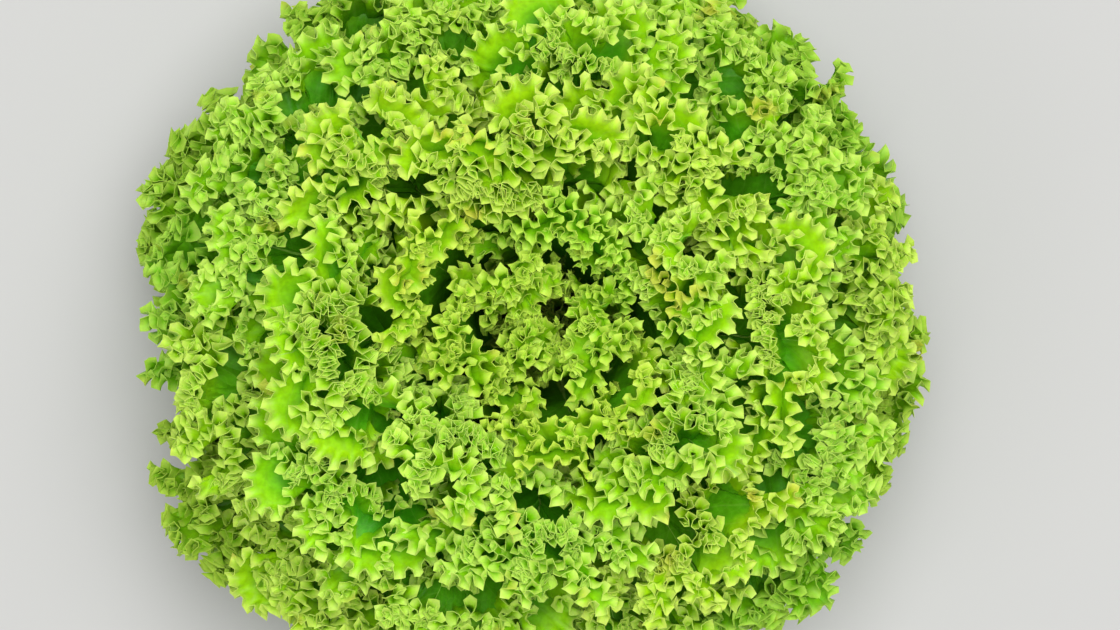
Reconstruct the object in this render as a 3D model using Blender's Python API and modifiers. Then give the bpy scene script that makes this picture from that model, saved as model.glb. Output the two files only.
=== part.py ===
"""A head of lollo bionda lettuce: a cut stem and the frilled leaves that grow round it.

Every leaf lies on its own cup. The cups are surfaces round the stem's axis, nested one
inside the next from the outermost, which is almost flat and meets the table, to the
innermost, which stands upright round the heart. A cup is named by its share s, 0 for the
outermost and 1 for the innermost. A leaf's folds swing it a little towards the cups on
either side, but never as far as the next leaf's, so no leaf crosses another.

Metres, +Z up. The origin is the centre of the cut face that the head stands on.
"""

import math
import random

import bmesh
import bpy
import numpy as np
from mathutils import Vector

# The head
HEAD_RADIUS = 0.138
HEAD_TOP = 0.152
WIDEST_HEIGHT = 0.048
LOWEST_TIP_ANGLE = -26.0
HIGHEST_TIP_ANGLE = 86.0
TIP_CROWDING = 0.20
TIP_FLARE = 30.0
HEART_DIP = 0.040
HEART_DIP_RADIUS = 0.034

# The head isn't quite round: waves round it, each a number of bulges, a share of the radius
# and the way that its first bulge faces
OUTLINE_WAVES = ((1, 0.012, 200.0), (3, 0.012, 197.0))
OUTLINE_STARTS = (0.03, 0.10)

# The stem
STEM_RADIUS = 0.0185
STEM_SHOULDER = 0.0100
STEM_CAP = 0.0290
STEM_CUT_BEVEL = 0.0015
STEM_GAP = 0.0004
STEM_SIDES = 16
CAP_STEPS = 5
LOWEST_FOOT_ANGLE = 4.0
HIGHEST_FOOT_ANGLE = 76.0

# The leaves, with the angles in degrees round the stem
LEAF_COUNT = 50
LEAVES_ON_TABLE = 2
GOLDEN_ANGLE = 137.508
STRAY_ANGLE = 1.5
OUTER_SPREAD = 39.0
HEART_SPREAD = 78.0
FOOT_SPREAD = 33.0
FOOT_HALF_WIDTH = 0.0095
BLADE_HALF_WIDTH = 0.074
BLADE_THICKNESS = 0.0009
RIB_THICKNESS = 0.0042
RIB_END_SHARE = 1.4
TABLE_CLEARANCE = 0.0013
LEAST_RADIUS = 0.004

# Shares of a cup's length: the reach of its bends, the leaf's own length, and places along it
FOOT_BEND = 0.42
TIP_BEND = 0.34
LENGTHS = (0.955, 1.015)
STALK_END = 0.16
SPREADING = (0.10, 0.45)
WIDEST_PLACES = (0.50, 0.58)
SHOULDER = 0.06
RIB_END = 0.72
RIB_TAPER = (0.05, 0.70)
RIB_WIDTH = 0.30

# The folds, as shares of the room between cups. Over its middle a low leaf has more room.
FOLD_SHARE = 0.46
MIDDLE_FOLD_SHARE = 0.78
MIDDLE_ANGLES = (8.0, 13.0)
LOW_LEAVES = (0.40, 0.70)
FOLD_RAGGEDNESS = 0.035
FOLD_ENDS = (0.52, 0.86)
FOLD_STARTS = (0.30, 1.05)
FOLD_STEEPNESS = 1.3
FOLD_DRIFT = ((0.55, 3.1), (0.35, 7.3))
FOLD_SWELL = 0.16
FOLD_SWELL_WAVES = 5.0

# Stretches of cups: where wider leaves begin to lie over the second next leaf, and then over
# the next one, where ribs grow thin, and where leaf tips begin to lean outward
SECOND_OVERLAP = (0.50, 0.62)
FIRST_OVERLAP = (0.79, 0.87)
THIN_RIBBED_CUPS = (0.60, 1.00)
FLARED_CUPS = (0.10, 0.50)

ROOM_PER_LEAF = 1.0 / (LEAF_COUNT - LEAVES_ON_TABLE)
SEED = 7

# Leaf groups: the cup where each starts, folds along the edge, columns of faces at the rib
GROUPS = (
    ("outer_leaf", 0.00, 12, 6),
    ("middle_leaf", 0.36, 12, 6),
    ("inner_leaf", 0.60, 10, 5),
    ("heart_leaf", 0.85, 8, 4),
)

COLOURS = {
    "stem": (0.72, 0.80, 0.50, 1.0),
    "outer_leaf": (0.20, 0.42, 0.03, 1.0),
    "middle_leaf": (0.28, 0.52, 0.04, 1.0),
    "inner_leaf": (0.33, 0.56, 0.06, 1.0),
    "heart_leaf": (0.38, 0.58, 0.09, 1.0),
}


def smooth(low, high, value):
    """0 below low, 1 above high, and a smooth rise between them."""
    share = np.clip((value - low) / (high - low), 0.0, 1.0)
    return share * share * (3.0 - 2.0 * share)


def mix(first, second, share):
    return first + (second - first) * share


def tip_point(s):
    """Where cup s ends, and the way it faces there: radius, height, slope."""
    crowded = s + TIP_CROWDING * np.sin(2.0 * np.pi * s) / (2.0 * np.pi)
    angle = np.radians(mix(LOWEST_TIP_ANGLE, HIGHEST_TIP_ANGLE, crowded))
    half_height = HEAD_TOP - WIDEST_HEIGHT
    radius = HEAD_RADIUS * np.cos(angle)
    dip = HEART_DIP * np.exp(-((radius / HEART_DIP_RADIUS) ** 2))
    height = WIDEST_HEIGHT + half_height * np.sin(angle) - dip
    slope = np.arctan2(np.sin(angle) / half_height, np.cos(angle) / HEAD_RADIUS)
    return radius, height, slope


def foot_point(s):
    """Where cup s leaves the stem, and the way it faces there: radius, height, slope."""
    angle = np.radians(mix(LOWEST_FOOT_ANGLE, HIGHEST_FOOT_ANGLE, s))
    radius = (STEM_RADIUS + STEM_GAP) * np.cos(angle)
    height = STEM_SHOULDER + (STEM_CAP + STEM_GAP) * np.sin(angle)
    slope = np.arctan2(np.sin(angle) / STEM_CAP, np.cos(angle) / STEM_RADIUS)
    return radius, height, slope


def cup(s, along):
    """Radius and height on cup s, a share along of the way from the stem to its end."""
    foot_r, foot_z, foot_slope = foot_point(s)
    tip_r, tip_z, tip_slope = tip_point(s)
    reach = np.hypot(tip_r - foot_r, tip_z - foot_z)
    leave = FOOT_BEND * reach
    arrive = TIP_BEND * reach
    bend_r = foot_r + leave * np.cos(foot_slope)
    bend_z = foot_z + leave * np.sin(foot_slope)
    flared = tip_slope - math.radians(TIP_FLARE) * smooth(*FLARED_CUPS, s)
    turn_r = tip_r - arrive * np.cos(flared)
    turn_z = tip_z - arrive * np.sin(flared)
    back = 1.0 - along
    weights = (back**3, 3 * back**2 * along, 3 * back * along**2, along**3)
    radius = sum(w * p for w, p in zip(weights, (foot_r, bend_r, turn_r, tip_r)))
    height = sum(w * p for w, p in zip(weights, (foot_z, bend_z, turn_z, tip_z)))
    return radius, height


def widest_spread(s):
    """Half the angle that a leaf on cup s may take round the stem."""
    return mix(OUTER_SPREAD, HEART_SPREAD, smooth(0.55, 1.0, s))


def room_steps(s):
    """How many leaves on is the next one that lies over a leaf on cup s."""
    return 3.0 - smooth(*SECOND_OVERLAP, s) - smooth(*FIRST_OVERLAP, s)


def head_outline(turn):
    """The head's radius at an angle round the stem, as a share of the mean one."""
    waves = [size * np.cos(bulges * (turn - math.radians(faces))) for bulges, size, faces in OUTLINE_WAVES]
    return 1.0 + sum(waves)


class Leaf:
    """One leaf: its cup, the way it faces and the shape of its folds."""

    def __init__(self, index, draw):
        self.s = (index - LEAVES_ON_TABLE) * ROOM_PER_LEAF
        self.turn = math.radians(index * GOLDEN_ANGLE + draw.uniform(-STRAY_ANGLE, STRAY_ANGLE))
        group = [g for g in GROUPS if g[1] <= max(self.s, 0.0)][-1]
        self.group, _, self.folds, self.columns = group
        self.length = draw.uniform(*LENGTHS)
        self.fold_shift = draw.uniform(0.0, 2.0 * math.pi)
        self.starts = [draw.uniform(0.0, 2.0 * math.pi) for _ in range(4)]
        self.widest = draw.uniform(*WIDEST_PLACES)

    def half_width(self, along):
        """Half the leaf's width before it is bent round the stem, as a length."""
        return mix(FOOT_HALF_WIDTH, BLADE_HALF_WIDTH, smooth(STALK_END, self.widest + SHOULDER, along))

    def edge(self, a):
        """The outline, from one foot (a = -1) over the tip (a = 0) to the other foot.

        Gives the place across, as a share of the half width, and the place along.
        """
        q = np.abs(a)
        psi = np.pi * np.minimum(q, 0.5)
        reach = (np.sin(psi) ** 3 + np.cos(psi) ** 3) ** (-1.0 / 3.0)
        across = np.where(q < 0.5, reach * np.sin(psi), 1.0)
        top = self.widest + (1.0 - self.widest) * reach * np.cos(psi)
        side = self.widest * np.clip((1.0 - q) / 0.5, 0.0, 1.0)
        return np.sign(a) * across, np.where(q < 0.5, top, side)

    def fold_size(self, a):
        """How strongly the edge is folded: full over the top, none at the foot."""
        return 1.0 - smooth(*FOLD_ENDS, np.abs(a))

    def fold_phase(self, a):
        """Where the edge is in its folds. The drift makes some folds wider than others."""
        drift = [size * np.sin(waves * a + start) for (size, waves), start in zip(FOLD_DRIFT, self.starts)]
        return np.pi * self.folds * a + self.fold_shift + sum(drift)

    def fold(self, a, rho, turn):
        """How far the folds swing the leaf towards other cups. They grow from rib to edge."""
        in_middle = 1.0 - smooth(*MIDDLE_ANGLES, np.degrees(np.abs(turn)))
        low_leaf = 1.0 - smooth(*LOW_LEAVES, self.s)
        share = mix(FOLD_SHARE, MIDDLE_FOLD_SHARE, in_middle * low_leaf)
        swell = 1.0 - FOLD_SWELL * (1.0 - np.sin(FOLD_SWELL_WAVES * a + self.starts[3]))
        size = share * swell * room_steps(self.s) * ROOM_PER_LEAF * self.fold_size(a)
        return size * np.sin(self.fold_phase(a)) * smooth(*FOLD_STARTS, rho) ** FOLD_STEEPNESS

    def place(self, a, rho):
        """World points of the leaf's upper face: a runs along the edge, rho from rib to edge."""
        across, edge_along = self.edge(a)
        ragged = np.sin(2.0 * self.fold_phase(a) + self.starts[2]) * self.fold_size(a)
        rho = rho * (1.0 + FOLD_RAGGEDNESS * ragged * rho**6)
        along = mix(RIB_END * (1.0 - np.abs(a)), edge_along, rho) * self.length
        radius, _ = cup(self.s, along)
        most = np.radians(mix(FOOT_SPREAD, widest_spread(self.s), smooth(*SPREADING, along)))
        wanted = self.half_width(along) / np.maximum(radius, LEAST_RADIUS)
        turn = rho * across * most * np.tanh(wanted / most)
        radius, height = cup(self.s + self.fold(a, rho, turn), along)
        round_stem = self.turn + turn
        radius = radius * mix(1.0, head_outline(round_stem), smooth(*OUTLINE_STARTS, radius))
        height = np.maximum(height, TABLE_CLEARANCE)
        return np.stack((radius * np.cos(round_stem), radius * np.sin(round_stem), height), -1)

    def thickness(self, a, rho):
        """Full on the rib at the foot, falling to the blade's own thickness."""
        rib_end = RIB_END_SHARE * BLADE_THICKNESS
        rib = mix(RIB_THICKNESS, rib_end, smooth(*RIB_TAPER, RIB_END * (1.0 - np.abs(a))))
        rib = mix(rib, rib_end, smooth(*THIN_RIBBED_CUPS, self.s))
        return mix(rib, BLADE_THICKNESS, smooth(0.0, RIB_WIDTH, rho))


# The rows of a leaf's pattern, from the rib to the edge, and where the columns double
ROWS = (0.0, 0.14, 0.52, 0.80, 1.0)
DOUBLING_ROWS = (2, 3, 4)
SAME_ROW = 0.01
SAME_PLACE = 0.00005


def flat_pattern(columns):
    """A flat grid, x along the edge and y from the rib, its columns doubling towards the edge."""
    pattern = bmesh.new()
    steps = len(ROWS) - 1
    bmesh.ops.create_grid(pattern, x_segments=columns, y_segments=steps, size=1.0)
    for row in DOUBLING_ROWS:
        lowest = 2.0 * row / steps - 1.0 - SAME_ROW
        along_edge = []
        for edge in pattern.edges:
            first, second = (vert.co.y for vert in edge.verts)
            if min(first, second) > lowest and abs(first - second) < SAME_ROW:
                along_edge.append(edge)
        bmesh.ops.subdivide_edges(pattern, edges=along_edge, cuts=1)
    bmesh.ops.triangulate(pattern, faces=pattern.faces[:])
    for vert in pattern.verts:
        vert.co.y = ROWS[round((vert.co.y + 1.0) / 2.0 * steps)]
    return pattern


def make_material(name):
    material = bpy.data.materials.new(name)
    material.use_nodes = True
    shader = material.node_tree.nodes["Principled BSDF"]
    shader.inputs["Base Color"].default_value = COLOURS[name]
    shader.inputs["Roughness"].default_value = 0.45
    shader.inputs["Metallic"].default_value = 0.0
    material.diffuse_color = COLOURS[name]
    return material


def make_leaf(leaf, name, material, collection):
    """Bends the flat pattern into the leaf's upper face, then thickens it away from the heart."""
    pattern = flat_pattern(leaf.columns)
    flat = np.array([v.co for v in pattern.verts])
    places = leaf.place(flat[:, 0], flat[:, 1])
    thickness = leaf.thickness(flat[:, 0], flat[:, 1])
    weight_layer = pattern.verts.layers.deform.verify()
    for vert, place, depth in zip(pattern.verts, places, thickness):
        vert.co = place
        vert[weight_layer][0] = float(depth / RIB_THICKNESS)
    bmesh.ops.remove_doubles(pattern, verts=pattern.verts[:], dist=SAME_PLACE)
    to_heart = Vector((-math.cos(leaf.turn), -math.sin(leaf.turn), 1.0))
    if sum(face.normal.dot(to_heart) * face.calc_area() for face in pattern.faces) < 0.0:
        bmesh.ops.reverse_faces(pattern, faces=pattern.faces[:])
    mesh = bpy.data.meshes.new(name)
    pattern.to_mesh(mesh)
    pattern.free()
    mesh.materials.append(material)
    mesh.shade_smooth()
    obj = bpy.data.objects.new(name, mesh)
    collection.objects.link(obj)
    obj.vertex_groups.new(name="thickness")
    solid = obj.modifiers.new("blade", "SOLIDIFY")
    solid.thickness = RIB_THICKNESS
    solid.offset = -1.0
    solid.use_even_offset = False
    solid.vertex_group = "thickness"
    return obj


def make_stem(material, collection):
    """A turned stub: the cut face, a short straight side and a rounded top."""
    profile = [(0.0, STEM_SHOULDER + STEM_CAP)]
    for step in range(1, CAP_STEPS + 1):
        angle = 0.5 * math.pi * (1.0 - step / CAP_STEPS)
        profile.append((STEM_RADIUS * math.cos(angle), STEM_SHOULDER + STEM_CAP * math.sin(angle)))
    profile.append((STEM_RADIUS, STEM_CUT_BEVEL))
    profile.append((STEM_RADIUS - STEM_CUT_BEVEL, 0.0))
    profile.append((0.0, 0.0))
    mesh = bpy.data.meshes.new("stem")
    points = [(radius, 0.0, height) for radius, height in profile]
    mesh.from_pydata(points, [(i, i + 1) for i in range(len(points) - 1)], [])
    mesh.materials.append(material)
    obj = bpy.data.objects.new("stem", mesh)
    collection.objects.link(obj)
    screw = obj.modifiers.new("turned", "SCREW")
    screw.steps = screw.render_steps = STEM_SIDES
    screw.use_merge_vertices = True
    screw.merge_threshold = 0.0001
    return obj


def main():
    for obj in list(bpy.data.objects):
        bpy.data.objects.remove(obj)
    head = bpy.data.collections.new("lollo_bionda_lettuce")
    bpy.context.scene.collection.children.link(head)
    materials = {name: make_material(name) for name in COLOURS}
    make_stem(materials["stem"], head)
    draw = random.Random(SEED)
    counts = dict.fromkeys(COLOURS, 0)
    for index in range(LEAF_COUNT):
        leaf = Leaf(index, draw)
        counts[leaf.group] += 1
        name = f"{leaf.group}_{counts[leaf.group]:02d}"
        make_leaf(leaf, name, materials[leaf.group], head)


main()
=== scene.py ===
import math
import random

import bmesh
import bpy
import numpy as np
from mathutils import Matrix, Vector


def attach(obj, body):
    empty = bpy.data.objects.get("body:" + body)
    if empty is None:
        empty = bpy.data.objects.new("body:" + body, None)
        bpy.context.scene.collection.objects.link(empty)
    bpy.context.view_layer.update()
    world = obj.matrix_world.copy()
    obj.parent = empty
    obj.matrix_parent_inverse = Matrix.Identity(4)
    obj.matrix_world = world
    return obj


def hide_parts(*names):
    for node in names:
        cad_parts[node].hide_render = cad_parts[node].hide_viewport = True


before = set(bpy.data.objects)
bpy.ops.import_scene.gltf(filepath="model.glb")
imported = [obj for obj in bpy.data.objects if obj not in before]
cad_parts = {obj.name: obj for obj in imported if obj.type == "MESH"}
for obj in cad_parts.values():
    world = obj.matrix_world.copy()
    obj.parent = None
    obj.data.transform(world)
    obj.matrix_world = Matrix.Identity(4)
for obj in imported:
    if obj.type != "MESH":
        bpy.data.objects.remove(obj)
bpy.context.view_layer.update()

# The head of lettuce: leaves lie on nested cups round a short stem. A cup is named by its
# share s, 0 for the outermost and 1 for the innermost. Metres and degrees throughout.
headForm = {
    "radius": 0.138,
    "top": 0.152,
    "widestHeight": 0.048,
    "lowestTipAngle": -26.0,
    "highestTipAngle": 86.0,
    "tipCrowding": 0.20,
    "tipFlare": 30.0,
    "flaredCups": (0.10, 0.50),
    "heartDip": 0.040,
    "heartDipRadius": 0.034,
    "outlineWaves": ((1, 0.012, 200.0), (3, 0.012, 197.0)),  # bulges, share of radius, way faced
    "outlineStarts": (0.03, 0.10),
}

stemForm = {
    "radius": 0.0185,
    "shoulder": 0.0100,
    "cap": 0.0290,
    "gap": 0.0004,
    "lowestFootAngle": 4.0,
    "highestFootAngle": 76.0,
    "cutBevel": 0.0015,
    "sides": 96,
    "rings": 22,
    "sideRings": 5,
    "cutRings": 9,
    "lumpSize": 0.0005,
    "lumpWaves": ((5.0, 900.0), (8.0, -560.0)),  # round the stem, up the stem
    "lumpBand": (0.002, 0.008),
    "sharpAngle": 40.0,
}

leafForm = {
    "count": 50,
    "onTable": 2,
    "goldenAngle": 137.508,
    "strayAngle": 1.5,
    "outerSpread": 39.0,
    "heartSpread": 78.0,
    "spreadCups": (0.55, 1.00),
    "footSpread": 33.0,
    "footHalfWidth": 0.0095,
    "bladeHalfWidth": 0.074,
    "mapLength": 0.14,
    "footBend": 0.42,
    "tipBend": 0.34,
    "lengths": (0.955, 1.015),
    "stalkEnd": 0.16,
    "spreading": (0.10, 0.45),
    "widestPlaces": (0.50, 0.58),
    "shoulder": 0.06,
    "ribEnd": 0.72,
    "tableClearance": 0.0013,
    "leastRadius": 0.004,
    "secondOverlap": (0.50, 0.62),
    "firstOverlap": (0.79, 0.87),
    "plainLeaves": 9,
    "plainColumns": 40,
    "seed": 7,
}

# Leaf groups: the cup where each starts, folds along the edge, columns of faces at the rib
leafGroups = (
    ("outer_leaf", 0.00, 12, 47),
    ("middle_leaf", 0.36, 12, 47),
    ("inner_leaf", 0.60, 10, 42),
    ("heart_leaf", 0.85, 8, 30),
)

# Rows of a leaf's pattern from the rib to the edge, and the rows where the columns double
patternRows = np.array((0.0, 0.08, 0.24, 0.405, 0.548, 0.667, 0.762, 0.835, 0.893, 0.938, 0.973, 1.0))
doublingRows = (4, 7, 9, 10)
denseColumns = 5600

gridTolerance = 0.01  # on a flat grid of 2 by 2
mergeDistance = 0.00002


def ease(low, high, value):
    share = np.clip((value - low) / (high - low), 0.0, 1.0)
    return share * share * (3.0 - 2.0 * share)


def mixed(first, second, share):
    return first + (second - first) * share


def tipPoint(s):
    crowded = s + headForm["tipCrowding"] * np.sin(2.0 * np.pi * s) / (2.0 * np.pi)
    angle = np.radians(mixed(headForm["lowestTipAngle"], headForm["highestTipAngle"], crowded))
    halfHeight = headForm["top"] - headForm["widestHeight"]
    radius = headForm["radius"] * np.cos(angle)
    dip = headForm["heartDip"] * np.exp(-((radius / headForm["heartDipRadius"]) ** 2))
    height = headForm["widestHeight"] + halfHeight * np.sin(angle) - dip
    slope = np.arctan2(np.sin(angle) / halfHeight, np.cos(angle) / headForm["radius"])
    return radius, height, slope


def footPoint(s):
    angle = np.radians(mixed(stemForm["lowestFootAngle"], stemForm["highestFootAngle"], s))
    radius = (stemForm["radius"] + stemForm["gap"]) * np.cos(angle)
    height = stemForm["shoulder"] + (stemForm["cap"] + stemForm["gap"]) * np.sin(angle)
    slope = np.arctan2(np.sin(angle) / stemForm["cap"], np.cos(angle) / stemForm["radius"])
    return radius, height, slope


def cupPoint(s, along):
    footR, footZ, footSlope = footPoint(s)
    tipR, tipZ, tipSlope = tipPoint(s)
    reach = np.hypot(tipR - footR, tipZ - footZ)
    leave = leafForm["footBend"] * reach
    arrive = leafForm["tipBend"] * reach
    bendR = footR + leave * np.cos(footSlope)
    bendZ = footZ + leave * np.sin(footSlope)
    flared = tipSlope - math.radians(headForm["tipFlare"]) * ease(*headForm["flaredCups"], s)
    turnR = tipR - arrive * np.cos(flared)
    turnZ = tipZ - arrive * np.sin(flared)
    back = 1.0 - along
    weights = (back**3, 3 * back**2 * along, 3 * back * along**2, along**3)
    radius = sum(w * p for w, p in zip(weights, (footR, bendR, turnR, tipR)))
    height = sum(w * p for w, p in zip(weights, (footZ, bendZ, turnZ, tipZ)))
    return radius, height


def widestSpread(s):
    return mixed(leafForm["outerSpread"], leafForm["heartSpread"], ease(*leafForm["spreadCups"], s))


def roomSteps(s):
    return 3.0 - ease(*leafForm["secondOverlap"], s) - ease(*leafForm["firstOverlap"], s)


def headOutline(turn):
    waves = [size * np.cos(n * (turn - math.radians(way))) for n, size, way in headForm["outlineWaves"]]
    return 1.0 + sum(waves)


# The bays that part the edge into lobes, as shares of the way from the rib
cutForm = {
    "spacing": 0.110,
    "firstSteps": (0.1, 0.9),
    "steps": (0.6, 1.4),
    "range": 0.66,
    "depths": (0.06, 0.28),
    "deepest": 0.7,
    "halfWidths": (0.026, 0.042),
    "steepness": 1.6,
}


def drawCuts(draw):
    cuts = []
    place = -cutForm["range"] + cutForm["spacing"] * draw.uniform(*cutForm["firstSteps"])
    while place < cutForm["range"]:
        cuts.append((place, draw.uniform(*cutForm["depths"]), draw.uniform(*cutForm["halfWidths"])))
        place += cutForm["spacing"] * draw.uniform(*cutForm["steps"])
    return cuts


def drawStarts(draw, count):
    return [draw.uniform(0.0, 2.0 * math.pi) for _ in range(count)]


def drawLeaves():
    draw = random.Random(leafForm["seed"])
    ownDraw = random.Random(frillForm["seed"])
    counts = {}
    leaves = []
    for index in range(leafForm["count"]):
        s = (index - leafForm["onTable"]) / (leafForm["count"] - leafForm["onTable"])
        stray = draw.uniform(-leafForm["strayAngle"], leafForm["strayAngle"])
        group, _, folds, columns = [g for g in leafGroups if g[1] <= max(s, 0.0)][-1]
        counts[group] = counts.get(group, 0) + 1
        leaves.append({
            "s": s,
            "turn": math.radians(index * leafForm["goldenAngle"] + stray),
            "group": group,
            "name": f"{group}_{counts[group]:02d}",
            "folds": folds,
            "columns": columns if index >= leafForm["plainLeaves"] else leafForm["plainColumns"],
            "length": draw.uniform(*leafForm["lengths"]),
            "foldShift": draw.uniform(0.0, 2.0 * math.pi),
            "starts": drawStarts(draw, 4),
            "widest": draw.uniform(*leafForm["widestPlaces"]),
            "ownStarts": drawStarts(ownDraw, 24),
            "crestStarts": [drawStarts(ownDraw, 30) for _ in range(3)],
            "cuts": drawCuts(ownDraw),
            "tone": ownDraw.uniform(0.0, 1.0),
            "courses": crestCourses(index, group),
        })
    return leaves


def leafEdge(leaf, a):
    # From one foot, a = -1, over the tip, a = 0, to the other foot
    q = np.abs(a)
    psi = np.pi * np.minimum(q, 0.5)
    reach = (np.sin(psi) ** 3 + np.cos(psi) ** 3) ** (-1.0 / 3.0)
    across = np.where(q < 0.5, reach * np.sin(psi), 1.0)
    top = leaf["widest"] + (1.0 - leaf["widest"]) * reach * np.cos(psi)
    side = leaf["widest"] * np.clip((1.0 - q) / 0.5, 0.0, 1.0)
    return np.sign(a) * across, np.where(q < 0.5, top, side)


# The broad folds, as shares of the room between cups
foldForm = {
    "share": 0.46,
    "middleShare": 0.78,
    "middleAngles": (8.0, 13.0),
    "lowLeaves": (0.40, 0.70),
    "ends": (0.52, 0.86),
    "starts": (0.30, 1.05),
    "steepness": 1.3,
    "drift": ((0.55, 3.1), (0.35, 7.3)),
    "swell": 0.16,
    "swellWaves": 5.0,
    "overhang": 0.26,
    "overhangRows": (0.4, 1.0),
}


def foldPhase(leaf, a):
    drifts = zip(foldForm["drift"], leaf["starts"])
    drift = [size * np.sin(waves * a + start) for (size, waves), start in drifts]
    return np.pi * leaf["folds"] * a + leaf["foldShift"] + sum(drift)


def foldSize(a):
    return 1.0 - ease(*foldForm["ends"], np.abs(a))


def foldSwing(leaf, a, rho, turn):
    inMiddle = 1.0 - ease(*foldForm["middleAngles"], np.degrees(np.abs(turn)))
    lowLeaf = 1.0 - ease(*foldForm["lowLeaves"], leaf["s"])
    share = mixed(foldForm["share"], foldForm["middleShare"], inMiddle * lowLeaf)
    swell = 1.0 - foldForm["swell"] * (1.0 - np.sin(foldForm["swellWaves"] * a + leaf["starts"][3]))
    roomPerLeaf = 1.0 / (leafForm["count"] - leafForm["onTable"])
    size = share * swell * roomSteps(leaf["s"]) * roomPerLeaf * foldSize(a)
    return size * np.sin(foldPhase(leaf, a)) * ease(*foldForm["starts"], rho) ** foldForm["steepness"]


def cutAt(leaf, a):
    return sum(depth * np.exp(-(((a - place) / width) ** 2)) for place, depth, width in leaf["cuts"])


def leafBase(leaf, a, rho, folded=1.0):
    # The leaf's upper face with its broad folds, whose walls lean over near the edge
    lean = folded * foldForm["overhang"] * np.sin(2.0 * foldPhase(leaf, a)) * foldSize(a)
    lean = lean * ease(*foldForm["overhangRows"], rho)
    rho = rho * (1.0 - np.minimum(cutAt(leaf, a), cutForm["deepest"]) * rho ** cutForm["steepness"])
    a = a - lean / leaf["folds"]
    across, edgeAlong = leafEdge(leaf, a)
    along = mixed(leafForm["ribEnd"] * (1.0 - np.abs(a)), edgeAlong, rho) * leaf["length"]
    radius, _ = cupPoint(leaf["s"], along)
    most = mixed(leafForm["footSpread"], widestSpread(leaf["s"]), ease(*leafForm["spreading"], along))
    most = np.radians(most)
    broad = ease(leafForm["stalkEnd"], leaf["widest"] + leafForm["shoulder"], along)
    halfWidth = mixed(leafForm["footHalfWidth"], leafForm["bladeHalfWidth"], broad)
    wanted = halfWidth / np.maximum(radius, leafForm["leastRadius"])
    turn = rho * across * most * np.tanh(wanted / most)
    radius, height = cupPoint(leaf["s"] + folded * foldSwing(leaf, a, rho, turn), along)
    roundStem = leaf["turn"] + turn
    radius = radius * mixed(1.0, headOutline(roundStem), ease(*headForm["outlineStarts"], radius))
    height = np.maximum(height, leafForm["tableClearance"])
    places = np.stack((radius * np.cos(roundStem), radius * np.sin(roundStem), height), -1)
    return places, (rho * across * halfWidth, along)


def lengthOf(vectors):
    return np.sqrt((vectors * vectors).sum(-1, keepdims=True))


def unit(vectors):
    return vectors / np.maximum(lengthOf(vectors), 1e-9)


def directions(places, side):
    # Along the edge, out to the edge and up towards the heart, at each point of the grid
    along = unit(np.gradient(places, axis=0))
    outward = unit(np.gradient(places, axis=1))
    up = unit(np.cross(along, outward)) * side
    return along, outward, up


# A smooth random course: how much shorter and lower each further wave is, and its usual height
wanderForm = {"shorter": 0.73, "lower": 0.5, "height": 1.9}


def wander(starts, along):
    # Between about -1 and 1
    course = np.zeros_like(along)
    for step, start in enumerate(starts):
        wave = np.sin((1.0 + wanderForm["shorter"] * step) * along + start)
        course += wave / (1.0 + wanderForm["lower"] * step)
    return course / wanderForm["height"]


def edgeLengths(places):
    steps = lengthOf(np.diff(places[:, -1], axis=0))[:, 0]
    return np.concatenate(([0.0], np.cumsum(steps)))


# The frills along the edge, from the broadest to the teeth
frillForm = {
    "rise": {"width": 0.0160, "level": 62.0, "most": 84.0, "uneven": 0.35, "unevenSpan": 0.030},
    "meander": {
        "depth": 0.0080, "innerDepth": 0.0125, "reach": 0.0170, "lean": 0.0024,
        "wave": 0.0230, "wander": 1.2, "wanderSpan": 0.050, "crowding": 0.5,
    },
    "blister": {"size": 0.0022, "wave": 0.0088, "slant": 0.3, "band": (0.001, 0.007)},
    "frill": {
        "wave": 0.0060, "size": 0.0021, "reach": 0.0085, "lean": 0.0009,
        "wander": 1.4, "wanderSpan": 0.020, "uneven": 0.40, "unevenSpan": 0.030,
    },
    "squeeze": {"span": 0.006, "power": 1.6},
    "lip": {"width": 0.0042, "angle": 1.45},
    "crimp": {"columns": 9.1, "size": 0.0005, "reach": 0.0026, "wander": 1.5, "wanderColumns": 9.0},
    "tooth": {
        "columns": 3, "length": 0.0019, "reach": 0.0015, "tilt": 0.0005,
        "inset": 0.35, "usual": 0.80, "uneven": 0.40, "shuffle": 2.3,
    },
    "innerCups": (0.45, 0.65),
    "ends": (0.80, 0.97),
    "leastRoom": 0.12,
    "fullRoom": 0.0150,
    "leastWidth": 0.00001,
    "tipColumns": 60,
    "footWeight": 0.16,
    "footBand": (0.46, 0.72),
    "seed": 23,
}


def crowding(places):
    # How closely each row is packed against the edge, averaged over a short span
    steps = lengthOf(np.gradient(places, axis=0))[..., 0]
    half = max(1, int(0.5 * frillForm["squeeze"]["span"] / steps[:, -1].mean()))
    sums = np.concatenate((np.zeros((1, steps.shape[1])), np.cumsum(steps, axis=0)))
    low = np.clip(np.arange(len(steps)) - half, 0, len(steps))
    high = np.clip(np.arange(len(steps)) + half + 1, 0, len(steps))
    spans = sums[high] - sums[low]
    return np.clip(spans / spans[:, -1:], 0.0, 1.0) ** frillForm["squeeze"]["power"]


def pickColumns(places, weights, count):
    # Columns stand evenly along the frilled edge, and wider apart where their weight is low
    reached = np.concatenate(([0.0], np.cumsum(np.diff(edgeLengths(places)) * weights)))
    wanted = np.linspace(0.0, reached[-1], count + 1)
    return np.rint(np.interp(wanted, reached, np.arange(len(places)))).astype(int)


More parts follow.
